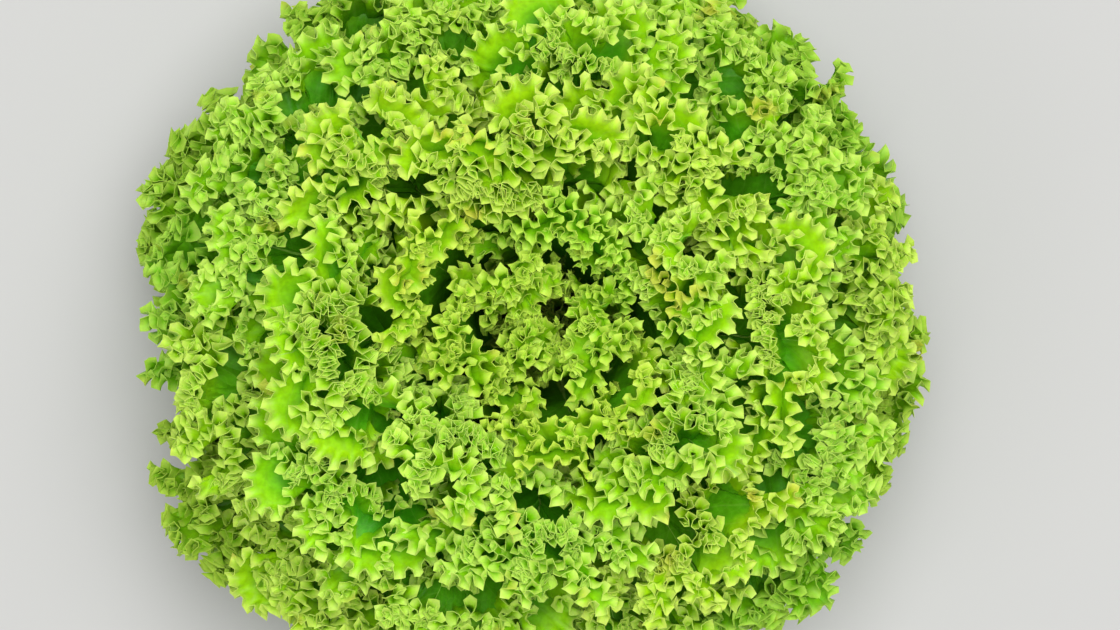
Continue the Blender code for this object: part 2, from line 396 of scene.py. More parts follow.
def frillRoom(leaf, a):
    # How much of their full size the frills can have, by the room to the next cup
    _, edgeAlong = leafEdge(leaf, a)
    reached = edgeAlong * leaf["length"]
    nextCup = leaf["s"] + roomSteps(leaf["s"]) / leafForm["count"]
    own = np.array(cupPoint(leaf["s"], reached))
    gap = np.hypot(*(np.array(cupPoint(nextCup, reached)) - own))
    return np.clip(gap / frillForm["fullRoom"], frillForm["leastRoom"], 1.0)


def rolled(width, angle, share):
    # A strip of this width turned up by this angle: how far it rises and how far it draws in
    angle = np.where(np.abs(angle) < 1e-4, 1e-4, angle)
    rise = width * (1.0 - np.cos(angle * share)) / angle
    drawIn = width * (np.sin(angle * share) / angle - share)
    return rise[..., None], drawIn[..., None]


def addFrills(places, fromEdge, size, side, starts):
    frill = frillForm["frill"]
    along, outward, up = directions(places, side)
    reached = edgeLengths(places)
    uneven = 1.0 + frill["uneven"] * wander(starts[:4], reached / frill["unevenSpan"])
    drift = frill["wander"] * wander(starts[4:8], reached / frill["wanderSpan"])
    phase = (2.0 * np.pi * reached / frill["wave"] + drift)[:, None]
    grown = size * np.exp(-fromEdge / frill["reach"]) * crowding(places) * uneven[:, None]
    lip = frillForm["lip"]
    width = np.maximum(lip["width"] * size, frillForm["leastWidth"])
    inLip = np.clip(1.0 - fromEdge / width, 0.0, 1.0)
    lifted, drawIn = rolled(width, lip["angle"] * np.sin(phase), inLip)
    places = places + up * (frill["size"] * grown * np.sin(phase))[..., None]
    places = places - along * (frill["lean"] * grown * np.sin(2.0 * phase))[..., None]
    return places + up * lifted + outward * drawIn


def addTeeth(places, fromEdge, size, side, starts):
    along, outward, up = directions(places, side)
    column = np.arange(len(places))
    crimp = frillForm["crimp"]
    drift = crimp["wander"] * wander(starts[:4], column / crimp["wanderColumns"])
    grown = size * np.exp(-fromEdge / crimp["reach"])
    bent = crimp["size"] * grown * np.sin(2.0 * np.pi * column / crimp["columns"] + drift)[:, None]
    tooth = frillForm["tooth"]
    step = (column + 0.5) / tooth["columns"]
    pointed = 1.0 - np.abs(2.0 * (step % 1.0) - 1.0)
    shuffled = wander(starts[4:8], np.floor(step) * tooth["shuffle"])
    uneven = tooth["usual"] + tooth["uneven"] * shuffled
    grown = size**0.5 * np.exp(-((fromEdge / tooth["reach"]) ** 2))
    reachOut = grown * (tooth["length"] * uneven * (pointed - tooth["inset"]))[:, None]
    bent = bent + grown * (tooth["tilt"] * np.cos(np.pi * np.floor(step)))[:, None]
    places = places + outward * reachOut[..., None] + up * bent[..., None]
    places[..., 2] = np.maximum(places[..., 2], leafForm["tableClearance"])
    return places


def heartward(leaf):
    return np.array([-math.cos(leaf["turn"]), -math.sin(leaf["turn"]), 1.0])


def leafSheet(leaf):
    # The blade on a dense grid: folds, bays, risen rim, meanders and blisters, then its frills
    a = np.linspace(-1.0, 1.0, denseColumns + 1)
    places, flat = leafBase(leaf, a[:, None], patternRows[None, :])
    plain, _ = leafBase(leaf, a[:, None], patternRows[None, :], 0.0)
    middle = len(a) // 2
    along, outward, up = directions(plain, 1.0)
    toHeart = heartward(leaf)
    nearTip = slice(middle - frillForm["tipColumns"], middle + frillForm["tipColumns"])
    side = 1.0 if float((up[nearTip] @ toHeart).sum()) > 0.0 else -1.0
    up = up * side
    fromEdge = np.cumsum(lengthOf(np.diff(places, axis=1))[:, ::-1, 0], axis=1)[:, ::-1]
    fromEdge = np.concatenate((fromEdge, np.zeros((len(a), 1))), axis=1)
    size = frillRoom(leaf, a)[:, None] * (1.0 - ease(*frillForm["ends"], np.abs(a)))[:, None]
    starts = leaf["ownStarts"]
    reached = edgeLengths(plain)

    meander = frillForm["meander"]
    course = 2.0 * np.pi * reached / meander["wave"] + starts[0]
    drift = wander(starts[1:5], reached / meander["wanderSpan"])
    course = (course + meander["wander"] * drift)[:, None]
    sideways = np.cross(along, np.array([0.0, 0.0, 1.0]))
    if float((sideways[nearTip, -1] @ -toHeart).sum()) < 0.0:
        sideways = -sideways
    grown = size * np.exp(-fromEdge / meander["reach"]) * crowding(plain) ** meander["crowding"]
    depth = mixed(meander["depth"], meander["innerDepth"], ease(*frillForm["innerCups"], leaf["s"]))
    pushed = sideways * (depth * grown * np.sin(course))[..., None]
    pushed = pushed - along * (meander["lean"] * grown * np.sin(2.0 * course))[..., None]
    rise = frillForm["rise"]
    level = np.degrees(np.arcsin(np.clip(outward[:, -1, 2], -1.0, 1.0)))
    uneven = 1.0 + rise["uneven"] * wander(starts[5:9], reached / rise["unevenSpan"])
    turned = np.radians(np.clip(rise["level"] - level, 0.0, rise["most"]) * uneven)[:, None]
    width = np.maximum(rise["width"] * size, frillForm["leastWidth"])
    lifted, drawIn = rolled(width, turned, np.clip(1.0 - fromEdge / width, 0.0, 1.0))
    blister = frillForm["blister"]
    bumps = np.sin(2.0 * np.pi * reached / blister["wave"] + starts[17])[:, None]
    slanted = fromEdge + blister["slant"] * reached[:, None]
    bumps = bumps * np.sin(2.0 * np.pi * slanted / blister["wave"] + starts[18])
    raised = size * blister["size"] * bumps * ease(*blister["band"], fromEdge)
    surface = places + up * (lifted + raised[..., None]) + outward * drawIn + pushed

    places = addFrills(surface, fromEdge, size, side, starts[9:17])
    nearFoot = ease(*frillForm["footBand"], np.abs(a[1:]))
    weights = mixed(frillForm["footWeight"], 1.0, 1.0 - nearFoot)
    picked = pickColumns(places, weights, leaf["columns"] * 2 ** len(doublingRows))
    flat = np.stack([np.broadcast_to(part, fromEdge.shape) for part in flat], -1)
    flat = flat * (1.0, leafForm["mapLength"])
    places = addTeeth(places[picked], fromEdge[picked], size[picked], side, starts[16:24])
    sheet = {"places": places, "fromEdge": fromEdge[picked], "flat": flat[picked]}
    sheet["depths"] = bladeThickness(leaf, a[picked][:, None], patternRows[None, :])
    return sheet, {"surface": surface, "side": side, "size": size, "flat": flat}


# Thickness of the blade and the rib, and the way the rib runs out
bladeForm = {
    "thickness": 0.00045,
    "edgeThickness": 0.00018,
    "edgeBand": (0.93, 1.00),
    "sharpAngle": 62.0,
    "rib": 0.0036,
    "ribEnd": 1.3,  # blades thick
    "ribTaper": (0.05, 0.70),
    "ribWidth": 0.16,
    "thinRibbedCups": (0.60, 1.00),
}


def bladeThickness(leaf, a, rho):
    ribEnd = bladeForm["ribEnd"] * bladeForm["thickness"]
    along = leafForm["ribEnd"] * (1.0 - np.abs(a))
    rib = mixed(bladeForm["rib"], ribEnd, ease(*bladeForm["ribTaper"], along))
    rib = mixed(rib, ribEnd, ease(*bladeForm["thinRibbedCups"], leaf["s"]))
    nearEdge = ease(*bladeForm["edgeBand"], rho)
    blade = mixed(bladeForm["thickness"], bladeForm["edgeThickness"], nearEdge)
    return mixed(rib, blade, ease(0.0, bladeForm["ribWidth"], rho))


# Frilled crests that stand on the blade's upper face, where it is crumpled between the veins
crestForm = {
    "rows": np.array((0.0, 0.32, 0.58, 0.80, 1.0)),
    "doublingRows": (1, 3),
    "columns": 74,
    "dense": 1800,
    "smoothing": 65,
    # Way from the rib, reach along the edge, height, share turned away from the head's middle
    "courses": ((0.66, 0.36, 0.0155, 0.10), (0.40, 0.30, 0.0165, 0.05), (0.82, 0.28, 0.0100, 0.60)),
    "innerCourses": ((0.74, 0.38, 0.0170, 0.0), (0.52, 0.34, 0.0265, 0.0), (0.34, 0.30, 0.0310, 0.0)),
    "offMiddle": 0.06,
    "taperPowers": (4, 0.7),
    "swing": 0.07,
    "swingWaves": (2.3, 5.1),
    "uneven": 0.25,
    "unevenSpan": 0.030,
    "lean": 38.0,
    "leanSwing": 24.0,
    "headCentre": 0.030,
    "buried": 0.0010,
    "meander": {"depth": 0.0066, "wave": 0.0180, "wanderSpan": 0.040},
    "endWeight": 0.15,
    "mapOffset": 0.008,
    "thinRows": (0.7, 1.0),
    "edgeThickness": bladeForm["edgeThickness"],
}


def crestCourses(index, group):
    # The lowest leaves carry one crest, those in the heart two, all others three
    if group in ("inner_leaf", "heart_leaf"):
        return crestForm["innerCourses"][:3 if group == "inner_leaf" else 2]
    return crestForm["courses"][:1 if index < leafForm["plainLeaves"] else 3]


def onSurface(values, column, rho):
    # Values of a dense leaf grid at places between its rows
    row = np.clip(np.searchsorted(patternRows, rho) - 1, 0, len(patternRows) - 2)
    low, high = patternRows[row], patternRows[row + 1]
    share = ((rho - low) / (high - low))[:, None]
    return values[column, row] * (1.0 - share) + values[column, row + 1] * share


def smoothed(values):
    # A running average along a strip
    half = crestForm["smoothing"]
    padded = np.concatenate((values[:1].repeat(half + 1, 0), values, values[-1:].repeat(half, 0)))
    sums = np.cumsum(padded, axis=0)
    return (sums[2 * half + 1:] - sums[:-2 * half - 1]) / (2 * half + 1)


def finishStrip(form, strip, flat, height, share, taper, starts):
    # A strip's frills and teeth, and the columns that are kept of it
    fromEdge = height[:, None] * (1.0 - crestForm["rows"])
    size = share[:, None]
    places = addFrills(strip, fromEdge, size, 1.0, starts[16:24])
    count = crestForm["columns"] * 2 ** len(crestForm["doublingRows"])
    picked = pickColumns(places, mixed(form["endWeight"], 1.0, taper[1:]), count)
    places = addTeeth(places[picked], fromEdge[picked], size[picked], 1.0, starts[22:30])
    thin = ease(*crestForm["thinRows"], crestForm["rows"]) + np.zeros((len(picked), 1))
    depths = mixed(bladeForm["thickness"], form["edgeThickness"], thin)
    return {"places": places, "fromEdge": fromEdge[picked], "flat": flat[picked], "depths": depths}


def crestSheet(leaf, dense, number):
    # A strip that stands on the blade, lower towards its two ends, with frills like the edge's
    starts = leaf["crestStarts"][number]
    rho, reach, tall, turnedOut = leaf["courses"][number]
    t = np.linspace(-1.0, 1.0, crestForm["dense"] + 1)
    first, second = crestForm["swingWaves"]
    swings = np.sin(first * t + starts[0]) + 0.5 * np.sin(second * t + starts[1])
    rho = rho + crestForm["swing"] * swings
    centre = crestForm["offMiddle"] * math.sin(starts[2])
    column = np.rint((centre + reach * t + 1.0) / 2.0 * denseColumns).astype(int)
    _, outward, up = directions(dense["surface"], dense["side"])
    foot = onSurface(dense["surface"], column, rho)
    outward = unit(smoothed(onSurface(outward, column, rho)))
    up = unit(smoothed(onSurface(up, column, rho)))
    along = unit(np.gradient(smoothed(foot), axis=0))
    reached = np.concatenate(([0.0], np.cumsum(lengthOf(np.diff(foot, axis=0))[:, 0])))
    blunt, soft = crestForm["taperPowers"]
    taper = (1.0 - t**blunt) ** soft
    share = dense["size"][column, 0] * taper
    spans = reached / crestForm["unevenSpan"]
    height = tall * share * (1.0 + crestForm["uneven"] * wander(starts[3:7], spans))
    lean = np.radians(crestForm["lean"] + crestForm["leanSwing"] * wander(starts[7:11], spans))
    grows = up * np.cos(lean)[:, None] + outward * np.sin(lean)[:, None]
    fromHead = unit(foot - np.array([0.0, 0.0, crestForm["headCentre"]]))
    grows = unit(mixed(grows, fromHead, turnedOut))
    rows = crestForm["rows"][None, :, None]
    places = foot[:, None] - up[:, None] * crestForm["buried"]
    places = places + (grows * height[:, None])[:, None] * rows
    meander = crestForm["meander"]
    drift = wander(starts[12:16], reached / meander["wanderSpan"])
    swung = np.sin(2.0 * np.pi * reached / meander["wave"] + starts[11] + drift)
    sideways = np.cross(along, grows) * (meander["depth"] * share * swung)[:, None]
    places = places + sideways[:, None] * rows
    flat = onSurface(dense["flat"], column, rho)
    across = np.abs(flat[:, 0]) + crestForm["mapOffset"]
    flat = np.stack((across, np.maximum(flat[:, 1], skinForm["whiteFoot"][1])), -1)
    flat = flat[:, None] + np.zeros((1, len(crestForm["rows"]), 1))
    return finishStrip(crestForm, places, flat, height, share, taper, starts)


def selectOnly(piece):
    bpy.ops.object.select_all(action="DESELECT")
    piece.select_set(True)
    bpy.context.view_layer.objects.active = piece


def makePattern(columns, steps, doublings):
    # A flat grid, x along the edge and y counting the rows, its columns doubling towards the edge
    bpy.ops.object.select_all(action="DESELECT")
    bpy.ops.mesh.primitive_grid_add(x_subdivisions=columns, y_subdivisions=steps, size=2.0)
    pattern = bpy.context.object
    pattern.name = f"pattern{columns}x{steps}"
    bpy.ops.object.mode_set(mode="EDIT")
    bpy.ops.mesh.select_mode(type="EDGE")
    for row in doublings:
        bpy.ops.mesh.select_all(action="DESELECT")
        grid = bmesh.from_edit_mesh(pattern.data)
        lowest = 2.0 * row / steps - 1.0 - gridTolerance
        for edge in grid.edges:
            first, second = (vert.co.y for vert in edge.verts)
            if min(first, second) > lowest and abs(first - second) < gridTolerance:
                edge.select_set(True)
        bmesh.update_edit_mesh(pattern.data)
        bpy.ops.mesh.subdivide(number_cuts=1, ngon=False)
    bpy.ops.mesh.select_all(action="SELECT")
    bpy.ops.mesh.quads_convert_to_tris(quad_method="SHORTEST_DIAGONAL")
    bpy.ops.object.mode_set(mode="OBJECT")
    return pattern


def editAll(operator, **settings):
    bpy.ops.object.mode_set(mode="EDIT")
    bpy.ops.mesh.select_all(action="SELECT")
    operator(**settings)
    bpy.ops.object.mode_set(mode="OBJECT")


def numbersOf(data, key, width):
    values = np.zeros(len(data) * width)
    data.foreach_get(key, values)
    return values.reshape(-1, width)


def makeSheet(name, pattern, sheet, leaf, offset):
    # A copy of the flat pattern, bent to the sheet's places and given its thickness
    piece = pattern.copy()
    piece.data = pattern.data.copy()
    piece.name = name
    piece.data.name = name
    bpy.context.scene.collection.objects.link(piece)
    mesh = piece.data
    columns, rows = (count - 1 for count in sheet["fromEdge"].shape)
    flat = numbersOf(mesh.vertices, "co", 3)
    column = np.rint((flat[:, 0] + 1.0) / 2.0 * columns).astype(int)
    row = np.rint((flat[:, 1] + 1.0) / 2.0 * rows).astype(int)
    mesh.vertices.foreach_set("co", sheet["places"][column, row].ravel())
    leafMap = mesh.uv_layers.new(name="leafMap")
    corners = numbersOf(mesh.loops, "vertex_index", 1)[:, 0].astype(int)
    leafMap.data.foreach_set("uv", sheet["flat"][column, row][corners].ravel())
    edgeDepth = mesh.attributes.new("fromEdge", "FLOAT", "POINT")
    edgeDepth.data.foreach_set("value", sheet["fromEdge"][column, row] * 100.0)
    tone = mesh.attributes.new("leafTone", "FLOAT", "POINT")
    tone.data.foreach_set("value", np.full(len(column), leaf["tone"]))
    thickness = piece.vertex_groups.new(name="thickness")
    depths = np.round(sheet["depths"][column, row] / bladeForm["rib"], 3)
    for level in np.unique(depths):
        thickness.add(np.flatnonzero(depths == level).tolist(), float(level), "REPLACE")
    selectOnly(piece)
    editAll(bpy.ops.mesh.remove_doubles, threshold=mergeDistance)
    normals = numbersOf(mesh.polygons, "normal", 3)
    if float((normals @ heartward(leaf)).sum()) < 0.0:
        editAll(bpy.ops.mesh.flip_normals)
    blade = piece.modifiers.new("blade", "SOLIDIFY")
    blade.thickness = bladeForm["rib"]
    blade.offset = offset
    blade.use_even_offset = False
    blade.vertex_group = "thickness"
    bpy.ops.object.modifier_apply(modifier="blade")
    piece.vertex_groups.clear()
    return piece


def dress(piece, material):
    selectOnly(piece)
    bpy.ops.object.shade_smooth_by_angle(angle=math.radians(bladeForm["sharpAngle"]))
    piece.data.materials.clear()
    piece.data.materials.append(material)
    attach(piece, "root")


def joinTo(piece, other):
    selectOnly(piece)
    other.select_set(True)
    bpy.ops.object.join()


def makeLeaf(leaf, patterns, material):
    sheet, dense = leafSheet(leaf)
    piece = makeSheet(leaf["name"] + "_blade", patterns[leaf["columns"]], sheet, leaf, -1.0)
    for number in range(len(leaf["courses"])):
        crest = crestSheet(leaf, dense, number)
        joinTo(piece, makeSheet(f"crest_{number}", patterns["crest"], crest, leaf, 0.0))
    dress(piece, material)
    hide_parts(leaf["name"])
    return piece


# The bud in the heart of the head, small curled leaves round the top of the stem
budForm = {
    "count": 5,
    "radii": (0.0135, 0.0030),
    "heights": (0.0430, 0.0330),
    "turns": 0.62,
    "buried": 0.0012,
    "taperPowers": (6, 0.6),
    "endHeight": 0.35,
    "lean": 7.0,
    # How far each swings, and how often along the leaf
    "radiusSwing": (0.22, 9.0),
    "heightSwing": (0.15, 7.0),
    "leanSwing": (16.0, 8.0),
    "foldSwing": (1.0, 5.0),
    "folds": 3.0,
    "foldDepth": 0.0032,
    "frillShare": 0.62,
    "endWeight": 0.20,
    "mapPlace": (0.012, 0.060),
    "mapHeight": 0.040,
    "edgeThickness": bladeForm["thickness"],
    "seed": 41,
}


def budSheet(number):
    # One small curled leaf of the bud: a strip that winds round the top of the stem
    draw = random.Random(budForm["seed"] + number)
    starts = drawStarts(draw, 30)
    t = np.linspace(0.0, 1.0, crestForm["dense"] + 1)

    def swing(name, chosen):
        size, often = budForm[name]
        return size * wander(chosen, often * t)

    turn = math.radians(number * leafForm["goldenAngle"]) + 2.0 * np.pi * budForm["turns"] * (t - 0.5)
    inward = number / (budForm["count"] - 1.0)
    radius = mixed(*budForm["radii"], inward) * (1.0 + swing("radiusSwing", starts[:4]))
    top = np.sqrt(np.clip(1.0 - (radius / stemForm["radius"]) ** 2, 0.0, 1.0))
    footZ = stemForm["shoulder"] + stemForm["cap"] * top - budForm["buried"]
    out = np.stack((np.cos(turn), np.sin(turn), np.zeros_like(turn)), -1)
    foot = out * radius[:, None] + np.stack((0.0 * t, 0.0 * t, footZ), -1)
    blunt, soft = budForm["taperPowers"]
    taper = (1.0 - (2.0 * t - 1.0) ** blunt) ** soft
    height = mixed(*budForm["heights"], inward) * mixed(budForm["endHeight"], 1.0, taper)
    height = height * (1.0 + swing("heightSwing", starts[4:8]))
    lean = np.radians(budForm["lean"] + swing("leanSwing", starts[8:12]))
    grows = np.array([0.0, 0.0, 1.0]) * np.cos(lean)[:, None] + out * np.sin(lean)[:, None]
    rows = crestForm["rows"][None, :, None]
    drift = swing("foldSwing", starts[13:17])
    folds = np.sin(2.0 * np.pi * budForm["folds"] * t + starts[12] + drift)
    pushed = out * (budForm["foldDepth"] * taper * folds)[:, None]
    places = foot[:, None] + (grows * height[:, None])[:, None] * rows + pushed[:, None] * rows**2
    across, along = budForm["mapPlace"]
    flat = np.stack((np.full_like(rows, across), rows * budForm["mapHeight"] + along), -1)[:, :, 0]
    flat = flat + np.zeros((len(t), 1, 1))
    return finishStrip(budForm, places, flat, height, budForm["frillShare"] * taper, taper, starts)


def makeBud(patterns, material):
    whole = None
    for number in range(budForm["count"]):
        leaf = {"turn": math.radians(number * leafForm["goldenAngle"]), "tone": 0.5}
        piece = makeSheet("heart_bud", patterns["crest"], budSheet(number), leaf, 0.0)
        if whole is None:
            whole = piece
        else:
            joinTo(whole, piece)
    dress(whole, material)
    return whole


leafColours = ("blade", "frill", "edge", "rib", "stain")
# Each blade colour is the leaf's deeper green, darkened further with painted shade of the deep pockets
# between the leaves. Each edge colour is the pale margin, made brighter and bluer with a painted
# highlight and sheen.
leafLooks = {
    # The outer leaves' colours are darker than the middle leaves': painted shade on the head's outer
    # slope.
    "outer_leaf": {
        "blade": (0.074, 0.300, 0.003), "frill": (0.220, 0.510, 0.003), "edge": (0.470, 0.720, 0.080),
        "rib": (0.300, 0.530, 0.080), "stain": (0.600, 0.480, 0.040), "veins": 0.9, "gloss": 0.50,
    },
    "middle_leaf": {
        "blade": (0.092, 0.350, 0.003), "frill": (0.335, 0.660, 0.004), "edge": (0.600, 0.830, 0.130),
        "rib": (0.360, 0.600, 0.100), "stain": (0.640, 0.520, 0.040), "veins": 0.8, "gloss": 0.48,
    },
    "inner_leaf": {
        "blade": (0.088, 0.375, 0.003), "frill": (0.385, 0.720, 0.004), "edge": (0.640, 0.860, 0.140),
        "rib": (0.400, 0.640, 0.110), "stain": (0.660, 0.560, 0.050), "veins": 0.7, "gloss": 0.46,
    },
    "heart_leaf": {
        "blade": (0.064, 0.315, 0.003), "frill": (0.290, 0.610, 0.004), "edge": (0.590, 0.830, 0.095),
        "rib": (0.420, 0.660, 0.120), "stain": (0.600, 0.540, 0.060), "veins": 0.5, "gloss": 0.44,
    },
}

# How light passes into a leaf
leafTissue = {
    "IOR": 1.36,
    "Specular IOR Level": 0.40,
    "Subsurface Weight": 0.15,
    "Subsurface Radius": (0.9, 1.0, 0.15),
    "Subsurface Scale": 0.0013,
}

# The leaf's markings: sizes in metres, densities per metre, bands in hundredths of a metre from
# the edge, and pairs of ranges as what a pattern goes over and what it is turned into
skinForm = {
    # The edge band lays the pale margin with its painted highlight. The frill band fades the frill colour
    # into the blade colour, which carries painted shade.
    "edgeBand": (0.00, 0.34),
    "paleEdgeAndHighlightShare": 0.9,
    "edgeWobble": ((0.3, 0.7), (-0.05, 0.05)),
    "frillToShadedBladeBand": (0.18, 1.50),
    "stainBand": (0.10, 0.45),
    "stains": ((0.64, 0.76), (0.0, 0.5)),
    "patches": ((0.44, 0.68), (0.0, 0.42)),
    "patchTint": (0.62, 0.84, 0.60, 1.0),
    "mottle": ((0.32, 0.68), (0.90, 1.10)),
    "hues": (0.492, 0.508),
    "patchDensity": 34.0,
    "stainDensity": 62.0,
    "mottleDensity": 520.0,
    "netDensity": 250.0,
    "netLines": ((0.0, 0.09), (0.45, 0.0)),
    "sideVeinSlant": 0.75,
    "sideVeinBend": ((0.2, 0.8), (-0.003, 0.003)),
    "sideVeinSpacing": 0.0065,
    "sideVeinWidth": 0.0007,
    "veinShare": 0.18,
    "ribWidths": (0.0042, 0.0002),
    "ribLength": 0.075,
    "ribFade": (0.5, 1.3),
    "ribShare": 0.8,
    "whiteFoot": (0.012, 0.050),
    "blisterDensity": 170.0,
    "blisterStrength": 0.5,
    "blisterHeight": 0.0010,
    "glossSwing": ((0.3, 0.7), (-0.07, 0.07)),
}


def addNode(tree, kind, inputs=None, **settings):
    node = tree.nodes.new("ShaderNode" + kind)
    for name, value in settings.items():
        setattr(node, name, value)
    for socket, value in (inputs or {}).items():
        if isinstance(value, bpy.types.NodeSocket):
            tree.links.new(value, node.inputs[socket])
        else:
            node.inputs[socket].default_value = value
    return node


def setSockets(shader, values):
    for socket, value in values.items():
        shader.inputs[socket].default_value = value


def ranged(tree, value, source, target=(0.0, 1.0), smooth=False):
    kind = "SMOOTHSTEP" if smooth else "LINEAR"
    limits = {"Value": value, "From Min": source[0], "From Max": source[1]}
    limits.update({"To Min": target[0], "To Max": target[1]})
    return addNode(tree, "MapRange", limits, interpolation_type=kind).outputs["Result"]


def fading(tree, value, band):
    return ranged(tree, value, band, (1.0, 0.0), True)


def calculated(tree, operation, first, second=0.0):
    return addNode(tree, "Math", {0: first, 1: second}, operation=operation).outputs["Value"]


def times(tree, first, second):
    return calculated(tree, "MULTIPLY", first, second)


def noise(tree, vector, density, detail):
    values = {"Vector": vector, "Scale": density, "Detail": detail}
    return addNode(tree, "TexNoise", values).outputs["Fac"]


def bumped(tree, height, strength, distance):
    values = {"Height": height, "Strength": strength, "Distance": distance}
    return addNode(tree, "Bump", values).outputs["Normal"]


def blended(tree, share, first, second, kind="MIX"):
    # Sockets 6 and 7 are the two colours of a colour Mix, and output 2 is its colour
    node = addNode(tree, "Mix", {0: share, 6: first, 7: second}, data_type="RGBA", blend_type=kind)
    return node.outputs[2]


def startGroup(name, colours, numbers=()):
    group = bpy.data.node_groups.new(name, "ShaderNodeTree")
    sockets = [(colour.title() + " Color", "INPUT", "Color") for colour in colours]
    sockets += [(number, "INPUT", "Float") for number in numbers]
    sockets += [("Color", "OUTPUT", "Color"), ("Roughness", "OUTPUT", "Float")]
    sockets += [("Normal", "OUTPUT", "Vector")]
    for socket, side, kind in sockets:
        group.interface.new_socket(name=socket, in_out=side, socket_type="NodeSocket" + kind)
    return group, group.nodes.new("NodeGroupInput").outputs


def endGroup(group, values):
    end = group.nodes.new("NodeGroupOutput")
    for socket, value in values.items():
        group.links.new(value, end.inputs[socket])


def colourSockets(looks, colours):
    return {colour.title() + " Color": (*looks[colour], 1.0) for colour in colours}


def makeLeafSkin():
    skin, given = startGroup("leafSkin", leafColours, ("Vein Strength", "Gloss"))
    place = addNode(skin, "TexCoord").outputs["Object"]
    fromEdge = addNode(skin, "Attribute", attribute_name="fromEdge").outputs["Fac"]
    leafTone = addNode(skin, "Attribute", attribute_name="leafTone").outputs["Fac"]
    leafMap = addNode(skin, "UVMap", uv_map="leafMap").outputs["UV"]
    flat = addNode(skin, "SeparateXYZ", {0: leafMap})
    across = calculated(skin, "ABSOLUTE", flat.outputs["X"])
    along = flat.outputs["Y"]

    patches = noise(skin, place, skinForm["patchDensity"], 1.0)
    stains = noise(skin, place, skinForm["stainDensity"], 1.0)
    mottle = noise(skin, place, skinForm["mottleDensity"], 1.0)

    # From the blade, darkened with painted shade deep in the leaf, over the frills to the pale edge,
    # brightened with a painted highlight
    frills = fading(skin, fromEdge, skinForm["frillToShadedBladeBand"])
    colour = blended(skin, frills, given["Blade Color"], given["Frill Color"])
    darkPatches = ranged(skin, patches, *skinForm["patches"], True)
    colour = blended(skin, darkPatches, colour, skinForm["patchTint"], "MULTIPLY")
    # The pale edge: partly the margin's own colour, partly a painted highlight and sheen
    wobbled = calculated(skin, "ADD", fromEdge, ranged(skin, mottle, *skinForm["edgeWobble"]))
    edges = fading(skin, wobbled, skinForm["edgeBand"])
    edges = times(skin, edges, skinForm["paleEdgeAndHighlightShare"])
    colour = blended(skin, edges, colour, given["Edge Color"])
    nearEdge = fading(skin, fromEdge, skinForm["stainBand"])
    stained = ranged(skin, stains, *skinForm["stains"], True)
    stained = times(skin, nearEdge, stained)
    colour = blended(skin, stained, colour, given["Stain Color"])

    # Veins: a fine net, side veins that leave the rib slantwise, and the rib itself
    cells = {"Vector": leafMap, "Scale": skinForm["netDensity"]}
    flatCells = {"feature": "DISTANCE_TO_EDGE", "voronoi_dimensions": "2D"}
    net = addNode(skin, "TexVoronoi", cells, **flatCells).outputs["Distance"]
    net = ranged(skin, net, *skinForm["netLines"], True)
    slant = times(skin, across, skinForm["sideVeinSlant"])
    slanted = calculated(skin, "SUBTRACT", along, slant)
    slanted = calculated(skin, "ADD", slanted, ranged(skin, patches, *skinForm["sideVeinBend"]))
    side = calculated(skin, "PINGPONG", slanted, skinForm["sideVeinSpacing"])
    side = fading(skin, side, (0.0, skinForm["sideVeinWidth"]))
    veins = calculated(skin, "MAXIMUM", net, side)
    veins = times(skin, veins, given["Vein Strength"])
    veins = times(skin, veins, skinForm["veinShare"])
    colour = blended(skin, veins, colour, given["Rib Color"])
    ribWidth = ranged(skin, along, (0.0, skinForm["ribLength"]), skinForm["ribWidths"])
    rib = calculated(skin, "DIVIDE", across, ribWidth)
    rib = fading(skin, rib, skinForm["ribFade"])
    foot = fading(skin, along, skinForm["whiteFoot"])
    pale = calculated(skin, "MAXIMUM", rib, foot)
    pale = times(skin, pale, skinForm["ribShare"])
    colour = blended(skin, pale, colour, given["Rib Color"])
    values = {"Hue": ranged(skin, leafTone, (0.0, 1.0), skinForm["hues"]), "Color": colour}
    values["Value"] = ranged(skin, mottle, *skinForm["mottle"])
    colour = addNode(skin, "HueSaturation", values).outputs["Color"]

    # Blisters between the veins
    blisters = noise(skin, place, skinForm["blisterDensity"], 1.0)
    bump = bumped(skin, blisters, skinForm["blisterStrength"], skinForm["blisterHeight"])
    rough = calculated(skin, "ADD", given["Gloss"], ranged(skin, patches, *skinForm["glossSwing"]))
    endGroup(skin, {"Color": colour, "Roughness": rough, "Normal": bump})
    return skin


def startMaterial(name):
    material = bpy.data.materials.new(name)
    material.use_nodes = True
    return material, material.node_tree, material.node_tree.nodes["Principled BSDF"]


def placeGroup(tree, group, shader, values):
    node = tree.nodes.new("ShaderNodeGroup")
    node.node_tree = group
    setSockets(node, values)
    for output, socket in (("Color", "Base Color"), ("Roughness", "Roughness"), ("Normal", "Normal")):
        tree.links.new(node.outputs[output], shader.inputs[socket])


def leafMaterial(group, skin):
    looks = leafLooks[group]
    material, tree, shader = startMaterial(group)
    values = colourSockets(looks, leafColours)
    values.update({"Vein Strength": looks["veins"], "Gloss": looks["gloss"]})
    placeGroup(tree, skin, shader, values)
    setSockets(shader, leafTissue)
    return material


